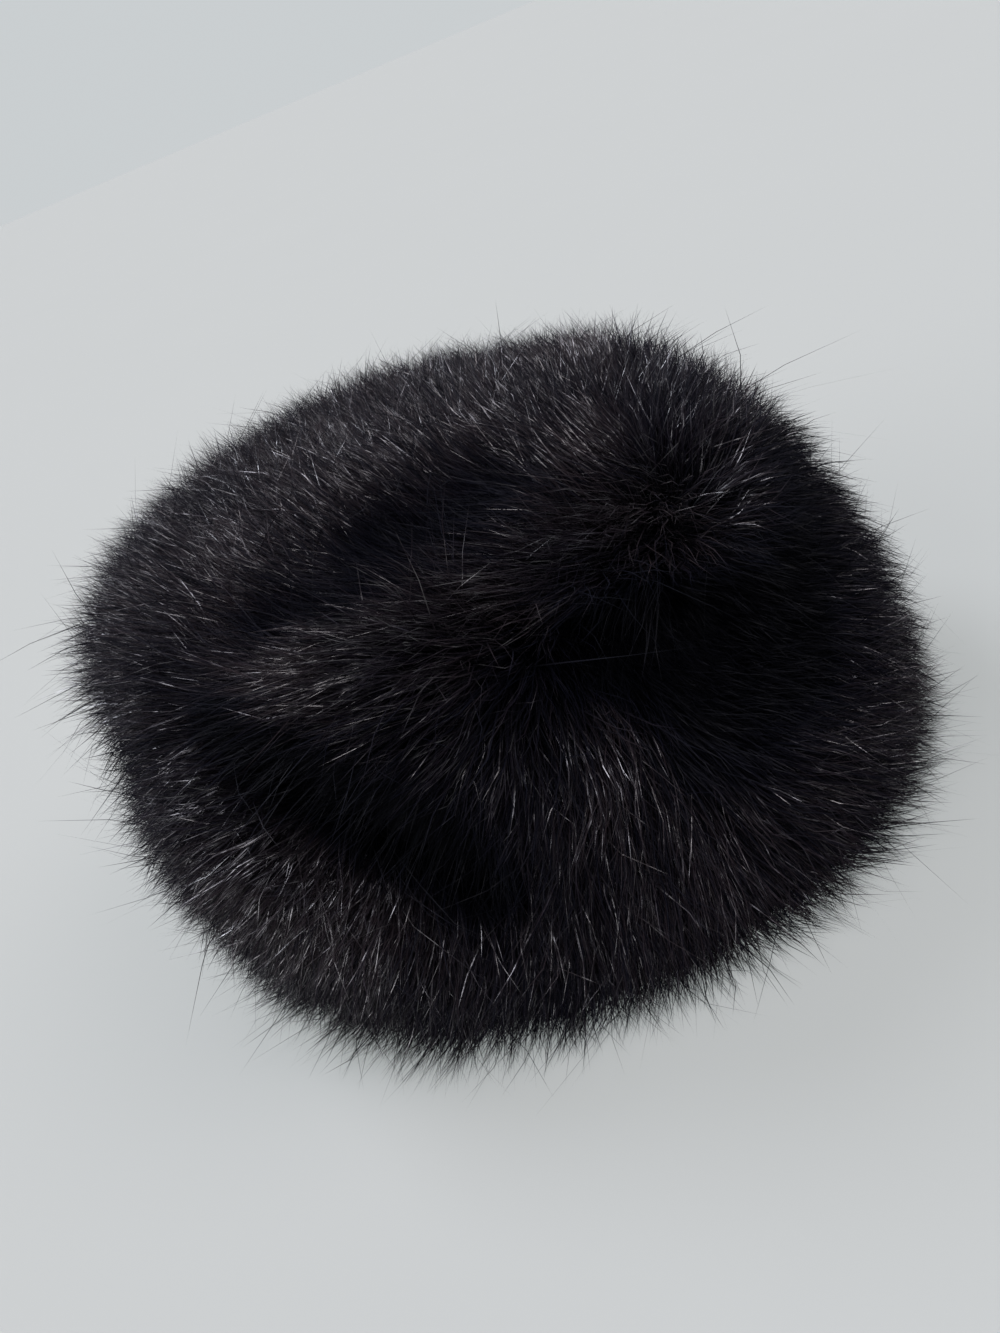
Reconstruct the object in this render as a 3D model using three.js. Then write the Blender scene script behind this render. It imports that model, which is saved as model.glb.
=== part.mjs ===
// A pillbox hat of black faux fur: an upright oval band, a gently domed crown panel and a deep pile on both.
// Millimetres. +X is the brow, +Y the wearer's left and +Z up. The hat stands on its hem.

import * as THREE from "three";

// Driving dimensions: the cloth
const headLength = 200;
const headWidth = 166;
const bandHeight = 113;
const crownRise = 7;
const crownLean = 10;
const bandWall = 2.4;
const crownWall = 2.2;
const seamGap = 0.5;
const backingGap = 0.45;

// Driving dimensions: the pile
const sidePile = 33;
const crownPile = 29;
const sideNap = 11;
const crownNap = 12;
const lockWidth = 15;
const lockRelief = 0.28; // share of the pile between a valley and the tips beside it
const lockRagged = 0.1; // share of the pile by which tips differ

// Facets round the hat and up it
const clothColumns = 48;
const bandRows = 8;
const crownRows = 5;
const bandLockRows = 17;
const crownLockRows = 10;

// Sections of the cloth, from the hem up the band to the crown seam and in to the middle of the crown.
//   up, dome      height, in band heights and in crown rises
//   long, wide    half length and half width, in those of the head opening with its wall
//   lean          how far the section sits forward, in crown leans
const clothSections = [
  { name: "hem", up: 0, dome: 0, long: 0.985, wide: 0.985, lean: 0.35 },
  { name: "fringe", up: 0.1, dome: 0, long: 0.99, wide: 0.99, lean: 0.3 },
  { name: "brow", up: 0.32, dome: 0, long: 1, wide: 1, lean: 0.15 },
  { name: "temple", up: 0.57, dome: 0, long: 0.99, wide: 1.01, lean: -0.1 },
  { name: "high", up: 0.8, dome: 0, long: 0.94, wide: 1.04, lean: -0.5 },
  { name: "shoulder", up: 0.94, dome: 0, long: 0.87, wide: 1.03, lean: -0.8 },
  { name: "seam", up: 1, dome: 0, long: 0.78, wide: 0.98, lean: -0.9 },
  { name: "rim", up: 1, dome: 0.5, long: 0.62, wide: 0.81, lean: -0.9 },
  { name: "panel", up: 1, dome: 0.85, long: 0.4, wide: 0.53, lean: -0.9 },
  { name: "inner", up: 1, dome: 0.97, long: 0.19, wide: 0.25, lean: -0.9 },
  { name: "centre", up: 1, dome: 1, long: 0, wide: 0, lean: -0.9 },
];

// Sections of the pile, at the same places as the cloth's.
//   side, crown   how far the pile stands off, in side piles and in crown piles
//   brow          what the pile gains at the brow, as a share of itself
//   pitch         which way the pile points: 0 straight out, 90 straight up, in degrees
//   down, back    how far the nap carries a tip down or back, in side naps and in crown naps
const pileSections = [
  { name: "hem", side: 0.55, crown: 0, brow: 0.1, pitch: 0, down: 0, back: 0 },
  { name: "fringe", side: 0.98, crown: 0, brow: 0.12, pitch: 0, down: 0.4, back: 0 },
  { name: "brow", side: 1.03, crown: 0, brow: 0.08, pitch: 2, down: 1, back: 0 },
  { name: "temple", side: 1.02, crown: 0, brow: 0.03, pitch: 7, down: 1, back: 0 },
  { name: "high", side: 1, crown: 0, brow: 0, pitch: 18, down: 0.6, back: 0.1 },
  { name: "shoulder", side: 0.78, crown: 0.24, brow: 0, pitch: 36, down: 0.2, back: 0.2 },
  { name: "seam", side: 0.4, crown: 0.62, brow: 0, pitch: 56, down: 0, back: 0.4 },
  { name: "rim", side: 0.1, crown: 0.92, brow: 0, pitch: 72, down: 0, back: 0.8 },
  { name: "panel", side: 0, crown: 1, brow: 0, pitch: 84, down: 0, back: 1 },
  { name: "inner", side: 0, crown: 1, brow: 0, pitch: 89, down: 0, back: 1 },
  { name: "centre", side: 0, crown: 1, brow: 0, pitch: 90, down: 0, back: 1 },
];

const seam = clothSections.findIndex((section) => section.name === "seam");
const centre = clothSections.length - 1;

// Dents and folds of the soft hat. Each is a hollow along the way between two places, or a swell if its
// depth is below 0. A place is degrees round from the brow towards the wearer's left, and sections up from
// the hem.
//   width         in band heights
//   depth         in side piles
const dents = [
  { name: "side hollow", from: [287, 4.9], to: [306, 4.2], width: 0.2, depth: 0.46 },
  { name: "side fold", from: [230, 5.2], to: [263, 3], width: 0.1, depth: 0.4 },
  { name: "swell below the fold", from: [222, 3.8], to: [250, 2.2], width: 0.17, depth: -0.22 },
  { name: "back nick", from: [200, 4.6], to: [212, 5], width: 0.11, depth: 0.26 },
  { name: "crown dent", from: [303, 7.7], to: [292, 7.1], width: 0.22, depth: 0.38 },
  { name: "crown dip", from: [258, 6.7], to: [246, 6.9], width: 0.12, depth: 0.24 },
  { name: "crown swell", from: [90, 6.6], to: [145, 6.9], width: 0.28, depth: -0.16 },
];
// The cloth takes this share of each dent and the pile takes the rest.
const clothShare = 0.35;

// Black pile and its darker cloth
const pileMaterial = { color: 0x121013, roughness: 0.62, metalness: 0 };
const clothMaterial = { color: 0x0b0a0c, roughness: 0.9, metalness: 0 };

const halfLength = headLength / 2 + bandWall;
const halfWidth = headWidth / 2 + bandWall;

// A smooth value of one column of a table at a place between its sections
function valueAt(place, sections, name) {
  const start = Math.min(Math.floor(place), centre - 1);
  const share = place - start;
  const at = (index) => sections[THREE.MathUtils.clamp(index, 0, centre)][name];
  const leaving = (at(start + 1) - at(start - 1)) / 2;
  const arriving = (at(start + 2) - at(start)) / 2;
  const change = at(start + 1) - at(start);
  const bend = 3 * change - 2 * leaving - arriving;
  const twist = leaving + arriving - 2 * change;
  return at(start) + share * (leaving + share * (bend + share * twist));
}

const clothAt = (name, place) => valueAt(place, clothSections, name);
const pileAt = (name, place) => valueAt(place, pileSections, name);

// The outer face of the cloth before any dent
function plainCloth(around, place) {
  return new THREE.Vector3(
    clothAt("long", place) * halfLength * Math.cos(around) + clothAt("lean", place) * crownLean,
    clothAt("wide", place) * halfWidth * Math.sin(around),
    clothAt("up", place) * bandHeight + clothAt("dome", place) * crownRise,
  );
}

// The direction square to a surface, level at the hem and upright in the middle of the crown
function normalOf(surface, around, place) {
  const step = 0.01;
  if (place > centre - step) return new THREE.Vector3(0, 0, 1);
  const across = surface(around + step, place).sub(surface(around - step, place));
  const up = surface(around, place + step).sub(surface(around, Math.max(place - step, 0)));
  const normal = across.cross(up);
  if (place === 0) normal.z = 0;
  return normal.normalize();
}

// Points along the way of a dent, on the plain cloth
function dentWay({ from, to }) {
  const steps = 8;
  return Array.from({ length: steps + 1 }, (_, step) => {
    const around = THREE.MathUtils.lerp(from[0], to[0], step / steps);
    const place = THREE.MathUtils.lerp(from[1], to[1], step / steps);
    return plainCloth(THREE.MathUtils.degToRad(around), place);
  });
}
const dentWays = dents.map((dent) => ({ ...dent, way: dentWay(dent) }));

// How deep the dents are at a place
function dentDepth(around, place) {
  const point = plainCloth(around, place);
  return dentWays.reduce((depth, dent) => {
    const distance = Math.min(...dent.way.map((spot) => spot.distanceTo(point)));
    const spread = distance / (dent.width * bandHeight);
    return depth + dent.depth * sidePile * Math.exp(-(spread ** 2));
  }, 0);
}

// The outer face of the cloth, dented, or a face set off from it
function cloth(around, place, offset = 0) {
  const point = plainCloth(around, place);
  const normal = normalOf(plainCloth, around, place);
  return point.addScaledVector(normal, offset - clothShare * dentDepth(around, place));
}

// The way of the pile from the cloth to its tip
function pileWay(around, place) {
  const length = pileAt("side", place) * sidePile + pileAt("crown", place) * crownPile;
  const brow = 1 + pileAt("brow", place) * Math.max(Math.cos(around), 0);
  const pitch = THREE.MathUtils.degToRad(pileAt("pitch", place));
  const way = new THREE.Vector3(halfWidth * Math.cos(around), halfLength * Math.sin(around), 0);
  way.setLength(Math.cos(pitch)).setZ(Math.sin(pitch));
  way.multiplyScalar(length * brow - (1 - clothShare) * dentDepth(around, place));
  way.z -= pileAt("down", place) * sideNap;
  way.x -= pileAt("back", place) * crownNap;
  return way;
}

// A repeatable scatter between -1 and 1
function scatter(first, second) {
  const mixed = Math.sin(first * 12.9898 + second * 78.233) * 43758.5453;
  return 2 * (mixed - Math.floor(mixed)) - 1;
}

// One ring of points round the hat, with the number of its row on the surface
function ring(row, count, point) {
  const points = Array.from({ length: count }, (_, index) => point((index / count) * 2 * Math.PI, index));
  return { row, points };
}

// Triangles between two rings with as many points. Each quad folds between the two corners that aren't tips
// of locks, and a surface and its offset fold alike, whichever way the body runs through them.
function joinAlike(faces, low, high) {
  const row = Math.min(low.row, high.row);
  const upward = low.row < high.row;
  low.corners.forEach((corner, index) => {
    const after = (index + 1) % low.corners.length;
    if (((index + row) % 2 === 0) === upward) {
      faces.push(corner, low.corners[after], high.corners[index]);
      faces.push(low.corners[after], high.corners[after], high.corners[index]);
    } else {
      faces.push(corner, low.corners[after], high.corners[after]);
      faces.push(corner, high.corners[after], high.corners[index]);
    }
  });
}

// Triangles between two rings of any count, stepping round both; a ring of one point is a fan's middle
function joinUnlike(faces, low, high) {
  const lows = low.corners.length;
  const highs = high.corners.length;
  let a = 0;
  let b = 0;
  while (a < lows || b < highs) {
    if (b === highs || (a < lows && (a + 1) / lows <= (b + 1) / highs)) {
      if (lows > 1) faces.push(low.corners[a], low.corners[(a + 1) % lows], high.corners[b % highs]);
      a += 1;
    } else {
      if (highs > 1) faces.push(low.corners[a % lows], high.corners[(b + 1) % highs], high.corners[b]);
      b += 1;
    }
  }
}

// A closed body through rings of points, going up its outside; a ring of one point closes an end
function bodyThrough(rings, closesOnItself) {
  const places = [];
  const numbered = rings.map(({ row, points }) => {
    return { row, corners: points.map((point) => places.push(point) - 1) };
  });
  const faces = [];
  numbered.forEach((low, step) => {
    const high = numbered[step + 1] ?? (closesOnItself ? numbered[0] : undefined);
    if (!high) return;
    if (low.corners.length === high.corners.length) joinAlike(faces, low, high);
    else joinUnlike(faces, low, high);
  });
  const geometry = new THREE.BufferGeometry().setFromPoints(places);
  geometry.setIndex(faces);
  geometry.computeVertexNormals();
  return geometry;
}

// Places of the rows between two ends of the profile
function rowsBetween(start, end, rows) {
  return Array.from({ length: rows + 1 }, (_, row) => THREE.MathUtils.lerp(start, end, row / rows));
}

// Half the seam's gap, in sections: measured across the hat, where the sections lie closest
const seamProbe = 0.1;
const probeLength = plainCloth(Math.PI / 2, seam).distanceTo(plainCloth(Math.PI / 2, seam + seamProbe));
const halfSeam = (seamGap / 2) * (seamProbe / probeLength);
const bandPlaces = [0, seam - halfSeam];
const crownPlaces = [seam + halfSeam, centre];

// Rings of cloth set off from its outer face, with one point in the middle of the crown
function clothRings([start, end], rows, offset) {
  return rowsBetween(start, end, rows).map((place, row) => {
    const count = place === centre ? 1 : clothColumns;
    return ring(row, count, (around) => cloth(around, place, offset));
  });
}

// Locks stand two columns apart, and fewer stand round where the crown narrows
const middleGirth = Math.PI * (halfLength + halfWidth + 2 * sidePile);
const lockColumns = 8 * Math.round(middleGirth / lockWidth / 4);
function lockCount(place) {
  if (place === centre) return 1;
  const reach = clothAt("long", place);
  return reach > 0.6 ? lockColumns : reach > 0.3 ? lockColumns / 2 : lockColumns / 4;
}

// Rings of the pile's outer face: every other point is a lock's tip, and the points beside it are valleys
function lockRings([start, end], rows) {
  return rowsBetween(start, end, rows).map((place, row) => {
    const atSeam = place === bandPlaces[1] || place === crownPlaces[0];
    return ring(row, lockCount(place), (around, index) => {
      const tip = 1 + lockRagged * scatter(index, row);
      const lock = (index + row) % 2 === 0 ? tip : 1 - lockRelief;
      const share = atSeam ? 1 - lockRelief / 2 : lock;
      return cloth(around, place).addScaledVector(pileWay(around, place), share);
    });
  });
}

// Cloth wall of the band
function sideBand() {
  const outside = clothRings(bandPlaces, bandRows, 0);
  const inside = clothRings(bandPlaces, bandRows, -bandWall).reverse();
  return bodyThrough([...outside, ...inside], true);
}

// Cloth panel of the crown
function crownPanel() {
  const outside = clothRings(crownPlaces, crownRows, 0);
  const inside = clothRings(crownPlaces, crownRows, -crownWall).reverse();
  return bodyThrough([...inside, ...outside], false);
}

// Pile of the band, on a backing that follows the cloth
function sideFur() {
  const outside = lockRings(bandPlaces, bandLockRows);
  const inside = clothRings(bandPlaces, bandRows, backingGap).reverse();
  return bodyThrough([...outside, ...inside], true);
}

// Pile of the crown, on a backing that follows the panel
function crownFur() {
  const outside = lockRings(crownPlaces, crownLockRows);
  const inside = clothRings(crownPlaces, crownRows, backingGap).reverse();
  return bodyThrough([...inside, ...outside], false);
}

function piece(name, geometry, material) {
  const mesh = new THREE.Mesh(geometry, new THREE.MeshStandardMaterial(material));
  mesh.name = name;
  return mesh;
}

const hat = new THREE.Group();
hat.add(piece("side_band", sideBand(), clothMaterial));
hat.add(piece("crown_panel", crownPanel(), clothMaterial));
hat.add(piece("side_fur", sideFur(), pileMaterial));
hat.add(piece("crown_fur", crownFur(), pileMaterial));

// The origin is on the floor under the middle of the hat.
const middle = new THREE.Box3().setFromObject(hat).getCenter(new THREE.Vector3());
hat.position.set(-middle.x, -middle.y, 0);

export default hat;
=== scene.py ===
"""Dresses the fur pillbox hat: a long black pile of combed hairs over its backing cloth, on a pale floor."""

import math
from typing import NamedTuple

import bmesh
import bpy
import numpy as np
from bpy.props import FloatProperty, FloatVectorProperty, IntProperty, PointerProperty
from bpy.types import Operator, Panel, PropertyGroup
from mathutils import Matrix, Vector
from mathutils.bvhtree import BVHTree
from mathutils.kdtree import KDTree


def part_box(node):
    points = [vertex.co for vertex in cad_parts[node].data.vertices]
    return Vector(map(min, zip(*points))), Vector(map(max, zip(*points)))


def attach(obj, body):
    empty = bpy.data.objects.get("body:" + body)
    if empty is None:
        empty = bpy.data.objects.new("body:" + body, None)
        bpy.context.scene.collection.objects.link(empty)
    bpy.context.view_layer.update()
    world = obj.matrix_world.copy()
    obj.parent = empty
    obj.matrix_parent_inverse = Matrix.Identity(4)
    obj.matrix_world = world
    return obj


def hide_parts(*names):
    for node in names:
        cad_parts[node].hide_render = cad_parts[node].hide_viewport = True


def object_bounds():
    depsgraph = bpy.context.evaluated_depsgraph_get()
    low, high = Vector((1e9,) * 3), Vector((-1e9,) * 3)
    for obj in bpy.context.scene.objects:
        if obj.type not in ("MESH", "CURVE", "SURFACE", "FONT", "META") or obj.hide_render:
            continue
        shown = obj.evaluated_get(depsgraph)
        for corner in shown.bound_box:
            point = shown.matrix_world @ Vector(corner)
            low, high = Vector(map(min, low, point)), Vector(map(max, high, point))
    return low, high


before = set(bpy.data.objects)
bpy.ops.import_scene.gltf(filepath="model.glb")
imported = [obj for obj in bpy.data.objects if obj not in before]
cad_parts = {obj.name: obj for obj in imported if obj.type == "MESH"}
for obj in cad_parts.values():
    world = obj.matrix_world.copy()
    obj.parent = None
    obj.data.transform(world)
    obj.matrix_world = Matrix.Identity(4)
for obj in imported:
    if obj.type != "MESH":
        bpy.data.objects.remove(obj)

bl_info = {
    "name": "Fur Pillbox Hat",
    "version": (1, 0, 0),
    "blender": (4, 5, 0),
    "location": "View3D > Sidebar > Fur Hat",
    "description": "Covers a pillbox hat in long combed pile and sets it on a studio floor",
    "category": "Object",
}

CAD_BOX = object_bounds()
MM = 0.001
BODY = "root"

# The cloth that the pile grows on: its middle, half length, half width and height
BAND_LOW, BAND_HIGH = (np.array(corner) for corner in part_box("side_band"))
HAT_MIDDLE = (BAND_LOW + BAND_HIGH) / 2
HALF_LENGTH, HALF_WIDTH, BAND_HEIGHT = (BAND_HIGH - BAND_LOW) * np.array((0.5, 0.5, 1.0))
CROWN_LOW, CROWN_HIGH = (np.array(corner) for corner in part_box("crown_panel"))
CROWN_MIDDLE = (CROWN_LOW + CROWN_HIGH) / 2
CROWN_HALVES = (CROWN_HIGH - CROWN_LOW) / 2


class Stroke(NamedTuple):
    """One stroke of the comb. Around is degrees from the brow towards the wearer's left. Up is 0 at the hem,
    1 at the band's upper edge, CROWN_EDGE over the crown's rim and 2 in the middle of the crown. Fore, left
    and rise give the way that the hairs lie, lay how far their tips lie over in depths of pile, and reach how
    far the stroke counts, in millimetres."""

    around: float
    up: float
    fore: float
    left: float
    rise: float
    lay: float
    reach: float


STROKES = {
    "crown back": Stroke(189, 1.24, -0.55, 0.85, 0.0, 1.0, 40),
    "crown middle": Stroke(157, 1.55, -0.4, 0.9, 0.0, 1.0, 40),
    "crown top": Stroke(68, 1.73, -0.2, 1.0, 0.0, 0.9, 40),
    "crown left": Stroke(90, 1.48, -0.3, 0.95, 0.0, 0.9, 45),
    "crown far": Stroke(21, 1.34, 0.0, 1.0, 0.1, 0.7, 34),
    "crown right": Stroke(260, 1.5, -0.9, 0.1, 0.0, 1.1, 26),
    "crown dent": Stroke(300, 1.52, -0.7, 0.6, 0.0, 1.0, 24),
    "crown brow": Stroke(340, 1.16, 0.25, 0.95, 0.0, 0.7, 22),
    "crown fore": Stroke(339, 1.09, 0.7, 0.6, -0.1, 0.7, 20),
    "back seam": Stroke(200, 1.17, -0.75, 0.6, -0.25, 0.9, 30),
    "notch": Stroke(221, 1.08, -0.45, 0.8, -0.4, 0.9, 18),
    "ridge back": Stroke(248, 1.17, -0.85, 0.5, 0.0, 1.0, 20),
    "ridge middle": Stroke(263, 1.18, -1.0, 0.05, 0.0, 1.1, 20),
    "ridge front": Stroke(281, 1.11, -0.9, -0.4, 0.0, 1.1, 18),
    "ridge end": Stroke(290, 1.12, -0.9, -0.3, -0.3, 1.0, 16),
    "under whorl": Stroke(297, 1.08, -0.45, -0.4, -0.8, 0.9, 16),
    "whorl right": Stroke(309, 0.83, 0.3, 0.0, -0.95, 0.9, 18),
    "brow top": Stroke(320, 0.87, 0.7, 0.3, -0.65, 0.8, 20),
    "fan top": Stroke(284, 0.99, -0.95, -0.3, 0.0, 1.1, 16),
    "fan left": Stroke(263, 1.06, -1.0, -0.05, -0.05, 1.1, 18),
    "fan back": Stroke(253, 1.08, -0.97, 0.2, -0.05, 1.0, 18),
    "fan middle": Stroke(265, 0.91, -0.93, -0.15, -0.35, 1.1, 18),
    "fan down": Stroke(272, 0.7, -0.6, -0.2, -0.8, 1.0, 20),
    "hollow": Stroke(295, 0.8, -0.3, -0.4, -0.8, 0.8, 16),
    "fan right": Stroke(298, 0.52, 0.45, 0.0, -0.85, 0.9, 22),
    "brow side": Stroke(326, 0.62, 0.55, 0.3, -0.75, 0.7, 28),
    "brow right": Stroke(314, 0.39, 0.55, 0.35, -0.75, 0.8, 28),
    "hem fore": Stroke(300, 0.27, 0.6, 0.3, -0.75, 0.9, 24),
    "hem right": Stroke(280, 0.46, -0.3, 0.0, -0.95, 0.9, 24),
    "hem middle": Stroke(269, 0.34, -0.33, -0.1, -0.93, 0.9, 24),
    "hem back": Stroke(256, 0.27, -0.3, 0.2, -0.9, 0.9, 24),
    "swell top": Stroke(238, 0.66, -0.85, 0.1, -0.2, 0.9, 18),
    "swell": Stroke(232, 0.72, -0.7, 0.5, -0.5, 0.8, 20),
    "swell back": Stroke(225, 0.88, -0.85, 0.45, -0.2, 0.8, 22),
    "swell low": Stroke(244, 0.53, -0.7, 0.0, -0.6, 0.85, 20),
    "swell foot": Stroke(244, 0.46, -0.5, 0.3, -0.8, 0.85, 24),
    "back": Stroke(200, 0.5, -0.6, 0.5, -0.5, 0.8, 40),
    "brow": Stroke(0, 0.45, 0.3, 0.2, -0.9, 0.7, 45),
    "left fan": Stroke(75, 0.5, 0.4, 0.0, -0.9, 0.9, 40),
    "left back": Stroke(125, 0.55, -0.6, 0.0, -0.7, 0.9, 40),
    "left ridge": Stroke(95, 0.88, -0.5, 0.4, -0.4, 0.9, 30),
}


class Fold(NamedTuple):
    """A straight dent or, where its depth is below 0, a swelling of the pile, from one spot to another. The
    spots are given as in a stroke, and the width and depth in millimetres. Hairs over a dent also get painted
    shade, and hairs on a swelling a painted highlight."""

    around: float
    up: float
    to_around: float
    to_up: float
    width: float
    depth: float


FOLDS = {
    "crease back": Fold(231, 1.04, 242, 0.91, 8, 14),
    "crease middle": Fold(242, 0.91, 250, 0.73, 13, 16),
    "crease front": Fold(250, 0.73, 256, 0.52, 9, 12),
    "crease lip back": Fold(226, 0.99, 236, 0.79, 7, -6),
    "crease lip front": Fold(236, 0.79, 246, 0.55, 7, -6),
    "swell": Fold(229, 0.7, 238, 0.6, 22, -3),
    "hollow": Fold(283, 0.95, 299, 0.78, 15, 8),
    "fore shade": Fold(294, 0.66, 312, 0.7, 24, 5.5),
    "brow hollow": Fold(330, 0.86, 311, 0.6, 18, 4.5),
    "ridge back": Fold(246, 1.14, 262, 1.12, 11, -5),
    "ridge middle": Fold(262, 1.12, 284, 1.08, 11, -5),
    "ridge front": Fold(284, 1.08, 302, 1.08, 11, -6),
    "crest": Fold(312, 1.16, 316, 1.1, 14, -5),
    "far tuft": Fold(12, 1.26, 18, 1.24, 8, -9),
    "crown dent": Fold(254, 1.52, 300, 1.55, 12, 4),
    "crown dip": Fold(236, 1.19, 248, 1.17, 10, 4.5),
    "notch": Fold(198, 0.86, 208, 0.9, 9, 6),
}
CROWN_EDGE = 1.22  # how far up a spot has to be to be met from above the crown

# How hairs lie where no stroke reaches, and how little that counts where one does
BAND_NAP = np.array((-0.25, 0.0, -1.0))
CROWN_NAP = np.array((-1.0, 0.15, 0.0))
BASE_LAY = 0.9
BASE_WEIGHT = 0.05
LEAST_LAY = 0.9  # least share of their lay that hairs keep where strokes disagree

SEAM_BAND = 14 * MM  # how near the crown's seam hairs lean out over it and stand up
SEAM_PILE = 20 * MM  # height of the pile's rim over the band
SEAM_SPLAY = 0.3
SEAM_RISE = 0.25


class Hair(NamedTuple):
    """How one kind of hair grows: the share of the pile's depth that it starts at, the least and most of the
    depth that it reaches, its width and how that shrinks along it, how many degrees it strays from its clump,
    and how far its tip bends aside in depths of pile."""

    start: float
    short: float
    tall: float
    width: float
    taper: tuple
    stray: float
    bend: float


GUARD = Hair(0.22, 0.66, 1.20, 0.36 * MM, (0.9, 1.0, 0.6), 22.0, 0.34)
UNDER = Hair(0.15, 0.45, 0.85, 0.34 * MM, (1.0, 0.8), 30.0, 0.3)
FLYAWAY = Hair(0.25, 0.9, 1.32, 0.26 * MM, (0.9, 1.0, 0.6), 38.0, 0.5)
BOX_MARGIN = 8.5 * MM  # how far hairs may stand out of the CAD box

FOLD_FULL = 5.5 * MM  # depth of fold where hairs get the most painted shade, and of swelling where they get the most painted highlight
# Share of the lot taken off in the deepest folds: painted shade, darker and less glossy hairs
FOLD_PAINTED_SHADE = 0.9
FOLD_CROP = 0.3  # how much shorter hairs are there
# Share added to the lot on the swellings: painted highlight, browner and glossier hairs
SWELL_PAINTED_HIGHLIGHT = 0.34

WISP_SHARE = 0.22  # of the locks and clumps at the hem
WISP_REACH = 15 * MM
WISP_BAND = 30 * MM
WISP_HOLD = 0.35  # how much closer hairs keep together at the hem


class PileSettings(PropertyGroup):
    """How thick and how ruffled the pile is."""

    side_guards: IntProperty(
        name="Side hairs", description="Long hairs on the band", default=88000, min=100
    )
    crown_guards: IntProperty(
        name="Crown hairs", description="Long hairs on the crown", default=39000, min=100
    )
    side_under: IntProperty(
        name="Side underfur", description="Short hairs on the band", default=54000, min=100
    )
    crown_under: IntProperty(
        name="Crown underfur", description="Short hairs on the crown", default=24000, min=100
    )
    flyaways: IntProperty(
        name="Flyaways", description="Stray hairs that stand clear", default=14000, min=0
    )
    lock_spacing: FloatProperty(
        name="Lock spacing", description="Between the middles of locks", default=0.0085, unit="LENGTH"
    )
    clump_spacing: FloatProperty(
        name="Clump spacing", description="Between the middles of clumps", default=0.0032, unit="LENGTH"
    )
    lock_pull: FloatProperty(
        name="Lock pull", description="How far tips close in on their lock", default=0.3, subtype="FACTOR"
    )
    clump_pull: FloatProperty(
        name="Clump pull", description="How far tips close in on their clump", default=0.45, subtype="FACTOR"
    )
    ruffle: FloatProperty(
        name="Ruffle", description="Turn of locks against their neighbours", default=0.26, subtype="ANGLE"
    )
    seed: IntProperty(
        name="Seed", description="Another seed gives another pile", default=11
    )


class PileColours(PropertyGroup):
    """Colours and gloss of the hairs."""

    # Painted shade deep in the pile: the colour that hairs darken to towards their roots and in the folds
    root_shade_colour: FloatVectorProperty(
        name="Root shade", description="Colour deep in the pile", default=(0.0003, 0.0004, 0.0013),
        subtype="COLOR"
    )
    hair_colour: FloatVectorProperty(
        name="Hairs", description="Colour of most hairs", default=(0.0016, 0.0018, 0.0045),
        subtype="COLOR"
    )
    brown_colour: FloatVectorProperty(
        name="Brown hairs", description="Colour of the browner hairs", default=(0.019, 0.0138, 0.0148),
        subtype="COLOR"
    )
    roughness: FloatProperty(
        name="Roughness", description="Of the glossiest hairs", default=0.31, subtype="FACTOR"
    )


class ClothSettings(PropertyGroup):
    """The backing cloth inside the hat."""

    cloth_colour: FloatVectorProperty(
        name="Cloth", description="Colour of the knitted backing", default=(0.012, 0.011, 0.014),
        subtype="COLOR"
    )
    knit_pitch: FloatProperty(
        name="Knit", description="Width of a stitch", default=0.0016, unit="LENGTH"
    )


class StageSettings(PropertyGroup):
    """Camera, floor and light."""

    camera_around: FloatProperty(
        name="Around", description="Camera angle round the hat", default=math.radians(-0.8), subtype="ANGLE"
    )
    camera_up: FloatProperty(
        name="Up", description="Camera angle above the floor", default=math.radians(31.0), subtype="ANGLE"
    )
    camera_roll: FloatProperty(
        name="Roll", description="Tilt of the camera", default=math.radians(22.9), subtype="ANGLE"
    )
    camera_distance: FloatProperty(
        name="Distance", description="From the hat's middle", default=0.3531, unit="LENGTH"
    )
    lens: FloatProperty(
        name="Lens", description="Focal length in millimetres", default=27.0
    )
    floor_colour: FloatVectorProperty(
        name="Floor", description="Colour of the floor", default=(0.14, 0.138, 0.132), subtype="COLOR"
    )
    floor_glow: FloatVectorProperty(
        name="Floor glow", description="Light through the floor", default=(0.265, 0.29, 0.285),
        subtype="COLOR"
    )
    key_around: FloatProperty(
        name="Key around", description="Angle of the light from the left towards the camera",
        default=math.radians(-45), subtype="ANGLE"
    )
    key_up: FloatProperty(
        name="Key up", description="Angle of the light above the floor", default=math.radians(52),
        subtype="ANGLE"
    )
    key_spread: FloatProperty(
        name="Key spread", description="Width of the light as seen from the hat", default=math.radians(26),
        subtype="ANGLE"
    )
    key_strength: FloatProperty(
        name="Key strength", description="Strength of the light from behind, on the left", default=3.0
    )
    top_strength: FloatProperty(
        name="Top strength", description="Strength of the light from above", default=2.2
    )
    fore_strength: FloatProperty(
        name="Fore strength", description="Strength of the light from the brow's side", default=1.8
    )
    side_strength: FloatProperty(
        name="Side strength", description="Strength of the light from the back's side", default=2.2
    )
    pale_colour: FloatVectorProperty(
        name="Pale side", description="Light from behind and from the left", default=(0.59, 0.62, 0.635),
        subtype="COLOR"
    )
    dim_colour: FloatVectorProperty(
        name="Dim side", description="Light from the camera's side", default=(0.07, 0.08, 0.15),
        subtype="COLOR"
    )


class HatSettings(PropertyGroup):
    """All settings of the hat and its stage."""

    pile: PointerProperty(type=PileSettings)
    colours: PointerProperty(type=PileColours)
    cloth: PointerProperty(type=ClothSettings)
    stage: PointerProperty(type=StageSettings)


# Geometry of the carried-over cloth and fur

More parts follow.
